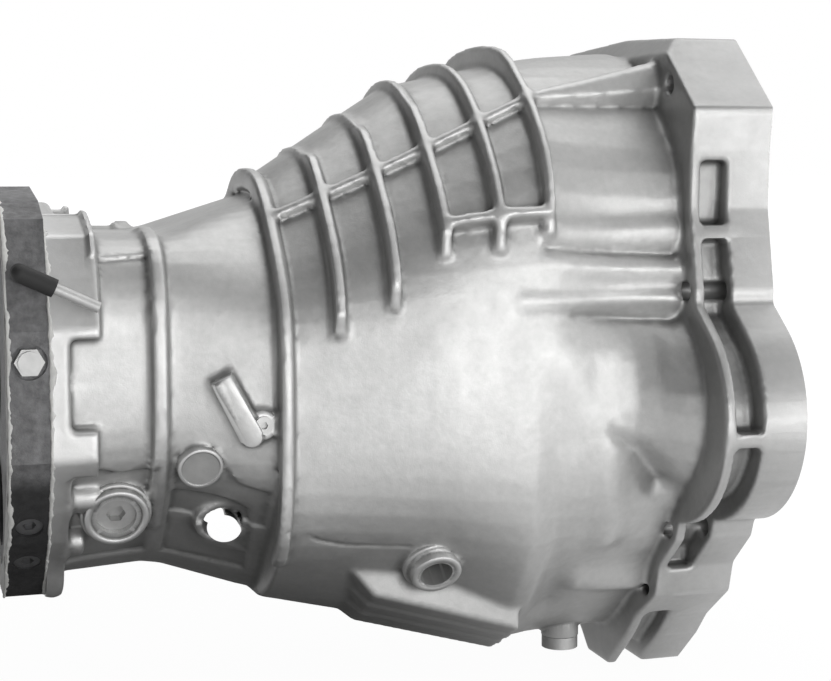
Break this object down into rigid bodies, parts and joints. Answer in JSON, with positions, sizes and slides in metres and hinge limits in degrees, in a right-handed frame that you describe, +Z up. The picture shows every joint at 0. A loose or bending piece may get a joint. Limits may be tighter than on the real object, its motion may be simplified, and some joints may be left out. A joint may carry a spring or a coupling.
{
  "type": "gearbox front case",
  "caption": "Cast front case and bell housing of a rear-drive manual gearbox, with adapter plate, vent, plugs, front bearings, retainer and clutch release fork.",
  "frame": {"origin": "where the input shaft axis crosses the engine joint face", "axes": "+X along the shaft towards the engine, +Z up, -Y towards the starter side"},
  "size_m": [0.431, 0.349, 0.401],
  "materials": {
    "cast_aluminium": "as cast, satin",
    "plate_iron": "dark, rough",
    "joint_sheet": "pale sealant sheet",
    "zinc_steel": "zinc plated",
    "bearing_steel": "ground, bright",
    "dark_steel": "oiled, dark",
    "fork_steel": "forged, dull",
    "cage_brass": "satin",
    "black_rubber": "matt",
    "paper_gasket": "matt"
  },
  "bodies": {
    "case": {"front_case": "cast_aluminium", "case_gasket": "joint_sheet", "adapter_plate": "plate_iron", "rear_gasket": "joint_sheet", "case_dowels": "dark_steel", "side_plug": "zinc_steel", "detent_plugs": "dark_steel", "vent_hose": "black_rubber", "vent_pipe": "zinc_steel", "filler_plug": "zinc_steel", "drain_plug": "zinc_steel", "lug_screw": "zinc_steel", "front_retainer": "cast_aluminium", "retainer_gasket": "paper_gasket", "retainer_bolts": "zinc_steel", "input_seal": "black_rubber", "input_snap_ring": "dark_steel", "input_bearing_outer": "bearing_steel", "counter_bearing_outer": "bearing_steel", "fork_pivot": "dark_steel", "fork_boot": "black_rubber", "boot_screws": "zinc_steel"},
    "fork": {"clutch_fork": "fork_steel"},
    "hub": {"release_hub": "fork_steel", "release_bearing_race": "bearing_steel"},
    "thrust_ring": {"release_bearing_ring": "bearing_steel"},
    "thrust_balls": {"release_bearing_balls": "bearing_steel"},
    "input_race": {"input_bearing_inner": "bearing_steel"},
    "input_cage": {"input_bearing_cage": "cage_brass", "input_bearing_balls": "bearing_steel"},
    "counter_cage": {"counter_bearing_cage": "cage_brass", "counter_bearing_rollers": "bearing_steel"}
  },
  "joints": [
    {"name": "fork_swing", "type": "hinge", "parent": "case", "child": "fork", "pos_m": [-0.176, 0.076, 0], "axis": [0, 0, 1], "range_deg": [0, 8]},
    {"name": "hub_slide", "type": "slide", "parent": "case", "child": "hub", "axis": [1, 0, 0], "range_m": [0, 0.0107]},
    {"name": "thrust_spin", "type": "hinge", "parent": "hub", "child": "thrust_ring", "pos_m": [-0.1307, 0, 0], "axis": [1, 0, 0], "continuous": true},
    {"name": "thrust_balls_spin", "type": "hinge", "parent": "hub", "child": "thrust_balls", "pos_m": [-0.1307, 0, 0], "axis": [1, 0, 0], "continuous": true},
    {"name": "input_race_spin", "type": "hinge", "parent": "case", "child": "input_race", "pos_m": [-0.2065, 0, 0], "axis": [1, 0, 0], "continuous": true},
    {"name": "input_cage_spin", "type": "hinge", "parent": "case", "child": "input_cage", "pos_m": [-0.2065, 0, 0], "axis": [1, 0, 0], "continuous": true},
    {"name": "counter_cage_spin", "type": "hinge", "parent": "case", "child": "counter_cage", "pos_m": [-0.204, 0, -0.078], "axis": [1, 0, 0], "continuous": true}
  ],
  "couplings": [
    {"joint": "hub_slide", "follows": "fork_swing", "m_per_rad": 0.076},
    {"joint": "thrust_balls_spin", "follows": "thrust_spin", "ratio": 0.558},
    {"joint": "input_cage_spin", "follows": "input_race_spin", "ratio": 0.408}
  ]
}
